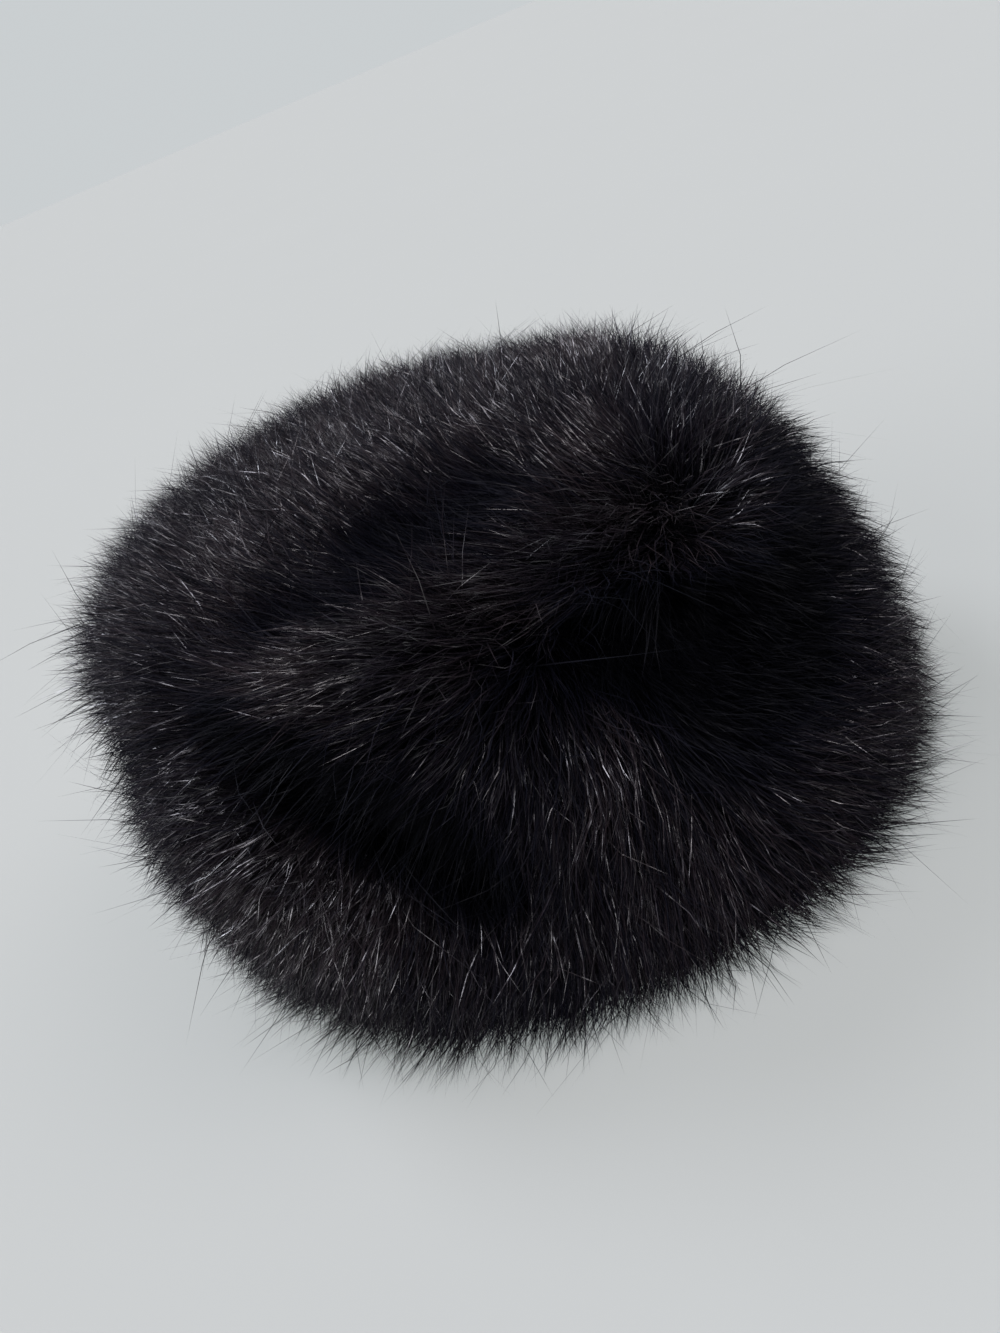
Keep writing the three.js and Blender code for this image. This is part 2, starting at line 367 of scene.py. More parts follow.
FUR_NODES = ("side_fur", "crown_fur")
CLOTH_NODES = ("side_band", "crown_panel")
WELD_GRID = 0.01 * MM  # corners that share a cell of this grid are one
OFF_CLOTH = 4 * MM  # how far a fur's outer faces are from its cloth, from the other fur and from the floor
OFF_FUR = 1 * MM
OFF_FLOOR = 0.1 * MM
FORM_JOIN = 1.5 * MM  # corners of the outer form that are this close become one
FORM_SMOOTHINGS = 2
FORM_SWELL = 5.0 * MM
TINY = 1e-12  # keeps a length from being zero


def unit(vectors):
    """The vectors at length one."""
    return vectors / np.maximum(np.linalg.norm(vectors, axis=-1, keepdims=True), TINY)


def bell(offsets, reach):
    """1 where the offsets are nothing, falling off with their length as a bell curve does."""
    return np.exp(-(offsets**2).sum(axis=1) / reach**2)


def welded(node):
    """Corners and triangles of a node, with corners that coincide made one."""
    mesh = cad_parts[node].data
    mesh.calc_loop_triangles()
    places = np.empty(len(mesh.vertices) * 3)
    mesh.vertices.foreach_get("co", places)
    corners = np.empty(len(mesh.loop_triangles) * 3, dtype=np.int64)
    mesh.loop_triangles.foreach_get("vertices", corners)
    grid = np.round(places.reshape(-1, 3) / WELD_GRID).astype(np.int64)
    _, first, where = np.unique(grid, axis=0, return_index=True, return_inverse=True)
    return places.reshape(-1, 3)[first], where.reshape(-1)[corners].reshape(-1, 3)


class Skin(NamedTuple):
    """Part of the outer form of the pile: its triangles' corners, smooth normals there, and areas."""

    corners: np.ndarray
    normals: np.ndarray
    areas: np.ndarray


def node_tree(node):
    """A search tree of a node."""
    places, triangles = welded(node)
    return BVHTree.FromPolygons(places.tolist(), triangles.tolist())


def outer_faces(fur, cloth_tree, other_fur_tree):
    """Corners of a fur node, and its triangles off the cloth, off the other fur and off the floor."""
    places, triangles = welded(fur)
    keep = []
    for triangle in triangles:
        middle = Vector(places[triangle].mean(axis=0))
        off_cloth = cloth_tree.find_nearest(middle)[3]
        off_fur = other_fur_tree.find_nearest(middle)[3]
        on_floor = places[triangle][:, 2].max() < OFF_FLOOR
        keep.append(off_cloth > OFF_CLOTH and off_fur > OFF_FUR and not on_floor)
    return places, triangles[np.array(keep)]


def spot_on(tree, around, up):
    """A spot on the outer form, met from outside the band, or from above where up is past CROWN_EDGE."""
    angle = math.radians(around)
    way = Vector((HALF_LENGTH * math.cos(angle), HALF_WIDTH * math.sin(angle), 0))
    if up < CROWN_EDGE:
        start = Vector(HAT_MIDDLE) + 2 * way
        start.z = up * BAND_HEIGHT
        return np.array(tree.ray_cast(start, -way)[0])
    reach = (2 - up) / (2 - CROWN_EDGE)
    start = Vector(CROWN_MIDDLE) + reach * Vector(
        (CROWN_HALVES[0] * math.cos(angle), CROWN_HALVES[1] * math.sin(angle), 0)
    )
    start.z = 2 * BAND_HEIGHT
    return np.array(tree.ray_cast(start, Vector((0, 0, -1)))[0])


def folded(places, tree):
    """How deep the folds press in the outer form at places."""
    depths = np.zeros(len(places))
    for fold in FOLDS.values():
        start = spot_on(tree, fold.around, fold.up)
        along = spot_on(tree, fold.to_around, fold.to_up) - start
        share = np.clip((places - start) @ along / (along @ along), 0, 1)
        depths += fold.depth * MM * bell(places - start - share[:, None] * along, fold.width * MM)
    return depths


def smooth_form():
    """The outer form of the whole pile as one smooth surface, without its locks: a skin for the side and one
    for the crown, and search trees of it with its folds and without."""
    trees = [node_tree(node) for node in (*FUR_NODES, *CLOTH_NODES)]
    shape = bmesh.new()
    for index, fur in enumerate(FUR_NODES):
        places, triangles = outer_faces(fur, trees[2 + index], trees[1 - index])
        corners = {number: shape.verts.new(places[number]) for number in np.unique(triangles)}
        for triangle in triangles:
            shape.faces.new([corners[number] for number in triangle]).material_index = index
    bmesh.ops.remove_doubles(shape, verts=shape.verts, dist=FORM_JOIN)
    bmesh.ops.triangulate(shape, faces=shape.faces)
    free = [corner for corner in shape.verts if not corner.is_boundary]
    every_way = dict(use_axis_x=True, use_axis_y=True, use_axis_z=True)
    for _ in range(FORM_SMOOTHINGS):
        bmesh.ops.smooth_vert(shape, verts=free, factor=0.5, **every_way)
    shape.normal_update()
    bmesh.ops.subdivide_edges(shape, edges=shape.edges, cuts=1, use_grid_fill=True)
    bmesh.ops.triangulate(shape, faces=shape.faces)
    shape.normal_update()
    corners = [corner for corner in shape.verts if not corner.is_boundary]
    places = np.array([corner.co for corner in corners])
    plain_tree = BVHTree.FromBMesh(shape)
    moves = FORM_SWELL - folded(places, plain_tree)
    ways = [corner.normal.copy() for corner in corners]
    for corner, way, move in zip(corners, ways, moves):
        corner.co += way * move
    shape.normal_update()
    tree = BVHTree.FromBMesh(shape)
    skins = []
    for index in range(len(FUR_NODES)):
        faces = [face for face in shape.faces if face.material_index == index]
        corners = np.array([[corner.co for corner in face.verts] for face in faces])
        normals = np.array([[corner.normal for corner in face.verts] for face in faces])
        areas = np.array([face.calc_area() for face in faces])
        skins.append(Skin(corners, normals, areas))
    shape.free()
    return *skins, tree, plain_tree


def scatter_roots(skin, count, rng):
    """Places spread evenly over a skin, with the skin's normals there."""
    steps = (np.arange(count) + rng.random(count)) / count
    passed = np.cumsum(skin.areas)
    chosen = np.minimum(np.searchsorted(passed, steps * passed[-1]), len(passed) - 1)
    across, along = rng.random((2, count))
    over = across + along > 1
    across[over], along[over] = 1 - across[over], 1 - along[over]
    shares = np.stack((1 - across - along, across, along), axis=1)[:, :, None]
    return (skin.corners[chosen] * shares).sum(axis=1), unit((skin.normals[chosen] * shares).sum(axis=1))


SIDE_FORM, CROWN_FORM, FORM_TREE, PLAIN_TREE = smooth_form()


def sunk(places):
    """How deep the folds press in the form next to places, whatever their height in the pile."""
    near = np.array([PLAIN_TREE.find_nearest(Vector(place))[0] for place in places])
    return folded(near, PLAIN_TREE)


def seam_nearness(places):
    """1 at the crown's seam and falling off on both sides of it."""
    outward = (places - CROWN_MIDDLE) / (*CROWN_HALVES[:2], 1)
    past = (np.hypot(outward[:, 0], outward[:, 1]) - 1) * CROWN_HALVES[:2].mean()
    below = np.where(past > 0, BAND_HEIGHT + SEAM_PILE - places[:, 2], 0)
    return np.exp(-(past**2 + below**2) / SEAM_BAND**2)


def combed(places, normals):
    """The way that hairs lie at places, square to the normals, how far they lie over, and from 0 to 1 how far
    the strokes disagree there."""
    flat = normals[:, 2:3] ** 2
    ways = BASE_WEIGHT * (BAND_NAP * (1 - flat) + CROWN_NAP * flat)
    lays = np.full(len(places), BASE_WEIGHT * BASE_LAY)
    total = np.full(len(places), BASE_WEIGHT)
    for stroke in STROKES.values():
        weight = bell(places - spot_on(FORM_TREE, stroke.around, stroke.up), stroke.reach * MM)
        ways = ways + weight[:, None] * unit(np.array((stroke.fore, stroke.left, stroke.rise)))
        lays += weight * stroke.lay
        total += weight
    ways /= total[:, None]
    seam = seam_nearness(places)
    outward = unit((places - CROWN_MIDDLE) * (1, 1, 0))
    ways += SEAM_SPLAY * seam[:, None] * outward
    ways -= normals * (ways * normals).sum(axis=1, keepdims=True)
    agreement = np.clip(np.linalg.norm(ways, axis=1), 0, 1)
    lays = (lays / total) * np.maximum(agreement, LEAST_LAY) * (1 - SEAM_RISE * seam)
    return unit(ways), lays, 1 - agreement


DRIFT_WAVES = 5
DRIFT_SPREAD = (0.6, 1.4)  # least and most turns of a wave within the wavelength that is asked for
DRIFT_GAIN = 1.6  # brings the mean of the waves back to about -1 to 1


def drift(places, wave, rng):
    """A smooth random value over space, about -1 to 1, that changes over the given wavelength."""
    ways = unit(rng.normal(size=(DRIFT_WAVES, 3))) * (2 * math.pi / wave)
    ways = ways * rng.uniform(*DRIFT_SPREAD, (DRIFT_WAVES, 1))
    return np.sin(places @ ways.T + rng.uniform(0, 2 * math.pi, DRIFT_WAVES)).mean(axis=1) * DRIFT_GAIN


def turned(ways, normals, angles):
    """The ways turned about the normals."""
    sides = np.cross(normals, ways)
    return ways * np.cos(angles)[:, None] + sides * np.sin(angles)[:, None]


class Tufts(NamedTuple):
    """Hairs, or the middles of locks or clumps: where each is rooted, which way it grows, how it lies and
    bends, how far its tip has to move to end on the outer form of the pile, and a random lot."""

    roots: np.ndarray
    normals: np.ndarray
    ways: np.ndarray
    depths: np.ndarray
    lays: np.ndarray
    bends: np.ndarray
    shifts: np.ndarray
    lots: np.ndarray


RISE_EARLY = 0.3  # how much faster a hair rises at its root than halfway up
LAY_POWER = 1.4  # above 1, hairs stand up at their roots and lie over at their tips
WAVE = 0.05  # how far hairs swing from side to side, in depths of pile
WAVE_TURNS = 1.3  # swings along a hair
WAVE_STARTS = 7  # spreads where hairs start their swing


def curve(hairs, shares):
    """Points along hairs, up from the root and over the way they are combed. Shares has a row for each."""
    sides = np.cross(hairs.normals, hairs.ways)
    rise = (shares + RISE_EARLY * shares * (1 - shares))[:, :, None]
    over = (hairs.lays[:, None] * shares**LAY_POWER)[:, :, None]
    swing = WAVE * np.sin(2 * math.pi * (WAVE_TURNS * shares + WAVE_STARTS * hairs.lots[:, None]))
    aside = (hairs.bends[:, None] * shares**2 + swing * shares)[:, :, None]
    grown = hairs.normals[:, None, :] * rise + hairs.ways[:, None, :] * over + sides[:, None, :] * aside
    shift = hairs.shifts[:, None, :] * (np.minimum(shares, 1) ** 2)[:, :, None]
    return hairs.roots[:, None, :] + hairs.depths[:, None, None] * grown + shift


def sprouted(skin, count, cloth, rng):
    """Spots spread evenly over the form, the cloth under them, and the way and distance between."""
    spots, _ = scatter_roots(skin, count, rng)
    roots = np.array([cloth.find_nearest(Vector(spot))[0] for spot in spots])
    depths = np.linalg.norm(spots - roots, axis=1)
    return spots, roots, unit(spots - roots), depths


FEWEST_TUFTS = 8
COMB_AHEAD = 0.6  # the comb is read this share of the way from where a tuft stands to where it lies
WIDE_RUFFLE = 60 * MM
FINE_RUFFLE = 22 * MM
RUFFLE_DRIFT = 0.8
RUFFLE_CHANCE = 0.75
WHORL_RUFFLE = 1.9  # extra turn of locks against each other where the strokes of the comb disagree
UNEVEN_LAY = 0.16
TUFT_BEND = 0.16
FORM_DRIFT = 1.2 * MM  # how far the outer form wavers, and over what length
FORM_DRIFT_WAVE = 30 * MM


def tufts_on(skin, cloth, spacing, uneven, settings, rng):
    """Middles of locks or clumps spread over a skin, combed and ruffled. Their tips end on the form, or off
    it by about the uneven length."""
    count = max(int(skin.areas.sum() / spacing**2), FEWEST_TUFTS)
    spots, roots, normals, depths = sprouted(skin, count, cloth, rng)
    ways, lays, _ = combed(spots, normals)
    ways, lays, mess = combed(spots + ways * (COMB_AHEAD * lays * depths)[:, None], normals)
    wide, fine = (RUFFLE_DRIFT * drift(roots, wave, rng) for wave in (WIDE_RUFFLE, FINE_RUFFLE))
    angles = settings.ruffle * (wide + fine)
    angles += (settings.ruffle + WHORL_RUFFLE * mess) * rng.normal(0, RUFFLE_CHANCE, count)
    ways = turned(ways, normals, angles)
    lays = lays * (1 + rng.normal(0, UNEVEN_LAY, count))
    bends = rng.normal(0, TUFT_BEND, count)
    tufts = Tufts(roots, normals, ways, depths, lays, bends, 0 * roots, rng.random(count))
    tips = curve(tufts, np.ones((count, 1)))[:, 0]
    ends = np.array([FORM_TREE.find_nearest(Vector(tip))[0] for tip in tips])
    extra = FORM_DRIFT * drift(roots, FORM_DRIFT_WAVE, rng) + rng.normal(0, uneven, count)
    wisps = (rng.random(count) < WISP_SHARE) * np.clip(1 - roots[:, 2] / WISP_BAND, 0, 1)
    extra += WISP_REACH * wisps
    return tufts._replace(shifts=ends - tips + normals * extra[:, None])


def nearest(spots, places):
    """For each place, the index of the spot nearest to it."""
    tree = KDTree(len(spots))
    for index, spot in enumerate(spots):
        tree.insert(spot, index)
    tree.balance()
    return np.array([tree.find(place)[1] for place in places])


def tops(tufts):
    """The spots on the outer form that tufts stand under."""
    return tufts.roots + tufts.normals * tufts.depths[:, None]


FLOOR_CLEARANCE = 0.4 * MM
FLOOR_HEAP = 1.6 * MM  # how high hairs lie over each other on the floor
FLOOR_SPLAY = 0.8


def laid_on_floor(points, lots):
    """Keeps hairs above the floor, and lets what would go below it splay out over it."""
    floor = FLOOR_CLEARANCE + FLOOR_HEAP * lots[:, None]
    below = np.maximum(floor - points[:, :, 2], 0)
    outward = unit((points - HAT_MIDDLE) * (1, 1, 0))
    points = points + outward * (FLOOR_SPLAY * below)[:, :, None]
    points[:, :, 2] += below
    return points


def kept_in(points):
    """Keeps points within the hat's box and its margin."""
    low, high = np.array(CAD_BOX[0]) - BOX_MARGIN, np.array(CAD_BOX[1]) + BOX_MARGIN
    low[2] = FLOOR_CLEARANCE
    return np.clip(points, low, high)


def picked(tufts, index):
    """Some of the tufts."""
    return Tufts(*(values[index] for values in tufts))


CLUMP_LOT = 0.55  # how much of a hair's lot is its clump's
REACH_SPREAD = (2.2, 1.3)  # the spread of lengths between short and tall, with more tall ones
STEP_POWER = 0.9  # below 1, points along a hair are closest at its tip
STRAY_STANDING = 2.1  # hairs that stand stray more than their kind, and those that lie stray less
STRAY_LYING = -1.3
STRAY_RANGE = (0.6, 2.0)
STRAY_TAIL = 4  # degrees of freedom of the strays: a few go far off
STRAY_MOST = 2.3
HOLD = (0.8, 0.45)  # mean and spread of how well hairs keep to their clump and lock
HOLD_MOST = 1.3
CLUMP_PULL_POWER = 1.5
LOCK_PULL_POWER = 2
FLYAWAY_LOCK_PULL = 0.3  # shares of what other hairs have
FLYAWAY_CLUMP_PULL = 0.2
FLYAWAY_LAY = 0.6
FLYAWAY_SHINE = 0.7


def grow(hair, skin, cloth, count, clumps, locks, lock_of, settings, rng):
    """Hairs of one kind over a skin: points along each, the way each stands, and a random lot at each point,
    lowered in the folds as painted shade and raised on the swellings as a painted highlight."""
    _, roots, normals, depths = sprouted(skin, count, cloth, rng)
    spots = roots + normals * depths[:, None]
    clump = nearest(tops(clumps), spots)
    clumps, locks = picked(clumps, clump), picked(locks, lock_of[clump])
    lots = CLUMP_LOT * clumps.lots + (1 - CLUMP_LOT) * rng.random(count)
    reach = hair.short + (hair.tall - hair.short) * rng.beta(*REACH_SPREAD, count)
    reach *= 1 - FOLD_CROP * np.clip(sunk(spots) / FOLD_FULL, 0, 1)
    steps = len(hair.taper) + 1
    shares = hair.start + (reach[:, None] - hair.start) * (np.arange(steps) / (steps - 1)) ** STEP_POWER
    upright = np.clip(STRAY_STANDING + STRAY_LYING * clumps.lays, *STRAY_RANGE)
    strays = np.clip(rng.standard_t(STRAY_TAIL, count), -STRAY_MOST, STRAY_MOST)
    ways = clumps.ways - normals * (clumps.ways * normals).sum(axis=1, keepdims=True)
    ways = turned(unit(ways), normals, np.radians(hair.stray) * upright * strays)
    lays = clumps.lays * (1 + rng.normal(0, UNEVEN_LAY, count))
    bends = clumps.bends + rng.normal(0, hair.bend, count)
    hold = np.clip(rng.normal(*HOLD, (count, 1)), 0, HOLD_MOST)
    hold *= 1 + WISP_HOLD * np.clip(1 - roots[:, 2:] / WISP_BAND, 0, 1)
    lock_pull = (settings.lock_pull * hold * shares**LOCK_PULL_POWER)[:, :, None]
    clump_pull = (settings.clump_pull * hold * shares**CLUMP_PULL_POWER)[:, :, None] * (1 - lock_pull)
    if hair is FLYAWAY:
        lock_pull, clump_pull = FLYAWAY_LOCK_PULL * lock_pull, FLYAWAY_CLUMP_PULL * clump_pull
        lays, lots = lays * FLYAWAY_LAY, lots * FLYAWAY_SHINE
    own = curve(Tufts(roots, normals, ways, depths, lays, bends, clumps.shifts, lots), shares)
    points = own * (1 - lock_pull - clump_pull)
    points += curve(locks, shares) * lock_pull + curve(clumps, shares) * clump_pull
    points = kept_in(laid_on_floor(points, lots))
    # Painted shade in the folds and painted highlight on the swellings, carried in the lots
    pressed = np.stack([sunk(points[:, max(step, 1)]) for step in range(steps)], axis=1) / FOLD_FULL
    lots = lots[:, None] * (1 - FOLD_PAINTED_SHADE * np.clip(pressed, 0, 1))
    return points, normals, np.clip(lots + SWELL_PAINTED_HIGHLIGHT * np.clip(-pressed, 0, 1), 0, 1)


RIBBON_TWIST = 0.6  # spread of how far ribbons are turned at the root, and further along
RIBBON_CURL = 1.3
RIBBON_WIDTHS = (0.6, 1.4)
NUDGE = 1e-9  # keeps a ribbon's side from being zero where a hair stands straight up


def ribbons(name, points, normals, lots, hair, rng):
    """One mesh of tapering ribbons along the points, each ending in a point."""
    count, steps, _ = points.shape
    along = unit(np.gradient(points, axis=1))
    flat = unit(np.cross(along, normals[:, None, :]) + NUDGE)
    upright = np.cross(along, flat)
    twist = rng.normal(0, RIBBON_TWIST, (count, 1))
    twist = twist + rng.normal(0, RIBBON_CURL, (count, 1)) * np.linspace(0, 1, steps)
    sides = flat * np.cos(twist)[:, :, None] + upright * np.sin(twist)[:, :, None]
    widths = hair.width * rng.uniform(*RIBBON_WIDTHS, (count, 1, 1))
    halves = sides[:, :-1] * (0.5 * widths * np.array(hair.taper)[None, :, None])
    body = points[:, :-1]
    pairs = np.stack((body - halves, body + halves), axis=2).reshape(count, -1, 3)
    places = np.concatenate((pairs, points[:, -1:]), axis=1)
    per_hair = places.shape[1]
    mesh = bpy.data.meshes.new(name)
    mesh.vertices.add(count * per_hair)
    mesh.vertices.foreach_set("co", places.reshape(-1).astype(np.float32))
    quads = [(2 * i, 2 * i + 1, 2 * i + 3, 2 * i + 2) for i in range(steps - 2)]
    tip = (per_hair - 3, per_hair - 2, per_hair - 1)
    pattern = np.array([corner for face in (*quads, tip) for corner in face])
    totals = np.array([len(face) for face in (*quads, tip)])
    loops = (np.arange(count)[:, None] * per_hair + pattern).reshape(-1)
    mesh.loops.add(len(loops))
    mesh.loops.foreach_set("vertex_index", loops.astype(np.int32))
    all_totals = np.tile(totals, count)
    mesh.polygons.add(len(all_totals))
    mesh.polygons.foreach_set("loop_start", (np.cumsum(all_totals) - all_totals).astype(np.int32))
    mesh.polygons.foreach_set("use_smooth", np.ones(len(all_totals), dtype=bool))
    mesh.update(calc_edges=True)
    lay_out(mesh, count, pattern, steps, lots)
    piece = bpy.data.objects.new(name, mesh)
    bpy.context.scene.collection.objects.link(piece)
    return piece


CELL_SIDES = [0.15, 0.85]
CELL_FOOT = 0.1
CELL_RISE = 0.8


def lay_out(mesh, count, pattern, steps, lots):
    """Two sets of texture coordinates: a cell of its own for each hair, and its lot, with the painted shade
    and highlight that it carries, and place along it.
    """
    cells = math.ceil(math.sqrt(count))
    column, row = np.arange(count) % cells, np.arange(count) // cells
    across = np.array(CELL_SIDES * (steps - 1) + [0.5])
    up = np.append(np.repeat(np.arange(steps - 1), 2), steps - 1) / (steps - 1)
    bake_u = (column[:, None] + across[pattern]) / cells
    bake_v = (row[:, None] + CELL_FOOT + CELL_RISE * up[pattern]) / cells
    bake = mesh.uv_layers.new(name="OFBake")
    bake.data.foreach_set("uv", np.stack((bake_u, bake_v), axis=2).reshape(-1).astype(np.float32))
    strand_v = np.broadcast_to(up[pattern], (count, len(pattern)))
    strand_u = np.append(np.repeat(lots[:, :-1], 2, axis=1), lots[:, -1:], axis=1)[:, pattern]
    strand = mesh.uv_layers.new(name="Strand")
    strand.data.foreach_set("uv", np.stack((strand_u, strand_v), axis=2).reshape(-1).astype(np.float32))


# Materials


def new_group(name, inputs, outputs):
    """An empty shader node group with its sockets, and its input and output nodes."""
    group = bpy.data.node_groups.new(name, "ShaderNodeTree")
    for label, kind, value in inputs:
        socket = group.interface.new_socket(label, in_out="INPUT", socket_type=kind)
        if value is not None:
            socket.default_value = value
    for label, kind in outputs:
        group.interface.new_socket(label, in_out="OUTPUT", socket_type=kind)
    return group, group.nodes.new("NodeGroupInput"), group.nodes.new("NodeGroupOutput")


def mixed(nodes, links, share, first, second):
    """A node that mixes two colours, each a fixed one or another node's."""
    mix = nodes.new("ShaderNodeMix")
    mix.data_type = "RGBA"
    links.new(share, mix.inputs["Factor"])
    for name, colour in (("A", first), ("B", second)):
        if isinstance(colour, tuple):
            mix.inputs[name].default_value = (*colour, 1)
        else:
            links.new(colour, mix.inputs[name])
    return mix.outputs["Result"]


class Ramp(NamedTuple):
    """A soft step: where it starts and ends in the value that it reads, and what it gives there."""

    low: float
    high: float
    to_low: float
    to_high: float


def ranged(nodes, links, value, ramp):
    """A node that maps a value by a ramp."""
    node = nodes.new("ShaderNodeMapRange")
    node.interpolation_type = "SMOOTHSTEP"
    links.new(value, node.inputs["Value"])
    node.inputs["From Min"].default_value = ramp.low
    node.inputs["From Max"].default_value = ramp.high
    node.inputs["To Min"].default_value = ramp.to_low
    node.inputs["To Max"].default_value = ramp.to_high
    return node.outputs["Result"]


def worked_out(nodes, links, operation, first, second):
    """A node that adds or multiplies two values."""
    node = nodes.new("ShaderNodeMath")
    node.operation = operation
    links.new(first, node.inputs[0])
    links.new(second, node.inputs[1])
    return node.outputs["Value"]


SOFT_DETAIL = 2.0
FINE_DETAIL = 4.0


def noise(nodes, links, place, scale, detail=SOFT_DETAIL):
    """A noise texture read at a place."""
    node = nodes.new("ShaderNodeTexNoise")
    node.inputs["Scale"].default_value = scale
    node.inputs["Detail"].default_value = detail
    links.new(place, node.inputs["Vector"])
    return node.outputs["Fac"]


# How the look of a hair follows its lot, the place along it and where it grows, with painted shade towards
# the roots and in the folds and a painted highlight on the swellings
PATCH_SCALE = 22.0  # brown patches a metre
BROWN_PATCHES = Ramp(0.35, 0.6, 0.4, 1.0)
# Random browner hairs, and a painted highlight: lots raised on swellings make hairs browner and lighter
BROWN_AND_PAINTED_LIGHT_OF_LOT = Ramp(0.25, 0.7, 0.0, 0.8)
# Painted shade towards the roots: hairs darken to the root colour deep in the pile
ROOT_SHADE_ALONG = Ramp(0.0, 0.75, 0.0, 1.0)
# Hairs of low lot take the root colour: random dark hairs, and painted shade where folds lowered the lot
TONE_AND_FOLD_SHADE_OF_LOT = Ramp(0.04, 0.3, 0.0, 1.0)
GLOSS_ALONG = Ramp(0.25, 0.8, 0.1, 1.0)
GLOSS_OF_LOT = Ramp(0.46, 0.74, 0.02, 1.0)
GLINT_SCALE = 240.0  # glints a metre, along and across the hairs
GLINTS = Ramp(0.46, 0.6, 0.06, 1.0)
DULL_OF_LOT = Ramp(0.35, 0.85, 0.3, 0.0)


def pile_tone_group():
    """Colour, roughness and gloss of a hair from its lot, the place along it and where it grows, with painted
    shade towards its roots and in folds, and a painted highlight on swellings.
    """
    group, given, made = new_group(
        "Pile tone",
        [
            ("Root shade", "NodeSocketColor", None),
            ("Hairs", "NodeSocketColor", None),
            ("Brown", "NodeSocketColor", None),
            ("Lot with painted light", "NodeSocketFloat", 0.5),
            ("Along", "NodeSocketFloat", 0.5),
            ("Roughness", "NodeSocketFloat", 0.4),
        ],
        [("Colour", "NodeSocketColor"), ("Roughness", "NodeSocketFloat"), ("Gloss", "NodeSocketFloat")],
    )
    nodes, links = group.nodes, group.links
    place = nodes.new("ShaderNodeTexCoord").outputs["Object"]
    lot, along = given.outputs["Lot with painted light"], given.outputs["Along"]
    patches = ranged(nodes, links, noise(nodes, links, place, PATCH_SCALE), BROWN_PATCHES)
    brown = worked_out(nodes, links, "MULTIPLY", patches, ranged(nodes, links, lot, BROWN_AND_PAINTED_LIGHT_OF_LOT))
    hair = mixed(nodes, links, brown, given.outputs["Hairs"], given.outputs["Brown"])
    # Painted shade: hairs darken to the root colour towards their roots and where folds lowered their lot
    height = ranged(nodes, links, along, ROOT_SHADE_ALONG)
    lit = worked_out(nodes, links, "MULTIPLY", height, ranged(nodes, links, lot, TONE_AND_FOLD_SHADE_OF_LOT))
    links.new(mixed(nodes, links, lit, given.outputs["Root shade"], hair), made.inputs["Colour"])
    tips = ranged(nodes, links, along, GLOSS_ALONG)
    shine = worked_out(nodes, links, "MULTIPLY", tips, ranged(nodes, links, lot, GLOSS_OF_LOT))
    glints = ranged(nodes, links, noise(nodes, links, place, GLINT_SCALE), GLINTS)
    links.new(worked_out(nodes, links, "MULTIPLY", shine, glints), made.inputs["Gloss"])
    dull = ranged(nodes, links, lot, DULL_OF_LOT)
    rough = worked_out(nodes, links, "ADD", dull, given.outputs["Roughness"])
    links.new(rough, made.inputs["Roughness"])
    return group


def new_material(name):
    """A material with its nodes, its shader and its links."""
    material = bpy.data.materials.new(name)
    material.use_nodes = True
    nodes = material.node_tree.nodes
    return material, nodes, material.node_tree.links, nodes["Principled BSDF"]


BODY_LOT = 0.4  # the body under the hairs is toned as a hair of this lot is, this far up it, nearly the painted root shade
BODY_ALONG = 0.12
BODY_GRAIN = 420.0  # grains a metre
BODY_BUMP = 2 * MM


def pile_material(name, group, colours, strands):
    """The pile's finish. Strands read their own lot and length, which carry painted shade towards the roots
    and in folds and a painted highlight on swellings, and the body under them stays dark with painted shade.
    """
    material, nodes, links, shader = new_material(name)
    tone = nodes.new("ShaderNodeGroup")
    tone.node_tree = group
    tone.inputs["Root shade"].default_value = (*colours.root_shade_colour, 1)
    tone.inputs["Hairs"].default_value = (*colours.hair_colour, 1)
    tone.inputs["Brown"].default_value = (*colours.brown_colour, 1)
    tone.inputs["Roughness"].default_value = colours.roughness
    if strands:
        strand = nodes.new("ShaderNodeUVMap")
        strand.uv_map = "Strand"
        apart = nodes.new("ShaderNodeSeparateXYZ")
        links.new(strand.outputs["UV"], apart.inputs["Vector"])
        links.new(apart.outputs["X"], tone.inputs["Lot with painted light"])
        links.new(apart.outputs["Y"], tone.inputs["Along"])
        links.new(tone.outputs["Roughness"], shader.inputs["Roughness"])
        links.new(tone.outputs["Gloss"], shader.inputs["Coat Weight"])
    else:
        tone.inputs["Lot with painted light"].default_value = BODY_LOT
        tone.inputs["Along"].default_value = BODY_ALONG
        place = nodes.new("ShaderNodeTexCoord").outputs["Object"]
        bump = nodes.new("ShaderNodeBump")
        bump.inputs["Distance"].default_value = BODY_BUMP
        links.new(noise(nodes, links, place, BODY_GRAIN, FINE_DETAIL), bump.inputs["Height"])
        links.new(bump.outputs["Normal"], shader.inputs["Normal"])
        shader.inputs["Roughness"].default_value = 0.6
    links.new(tone.outputs["Colour"], shader.inputs["Base Color"])
    shader.inputs["Specular IOR Level"].default_value = 0.05
    shader.inputs["Coat Roughness"].default_value = colours.roughness
    shader.inputs["Coat IOR"].default_value = 1.85
    shader.inputs["Sheen Weight"].default_value = 0.01
    shader.inputs["Sheen Roughness"].default_value = 0.4
    shader.inputs["Sheen Tint"].default_value = (0.8, 0.86, 1.0, 1.0)
    return material


KNIT_SHADE = Ramp(0.1, 0.9, 0.35, 1.0)
KNIT_SHADOW = (0.003, 0.003, 0.004)
KNIT_BUMP = 0.6 * MM
FLUFF_SCALE = 900.0  # tufts of fluff a metre
FLUFF_SHARE = 0.4  # of the height of a stitch


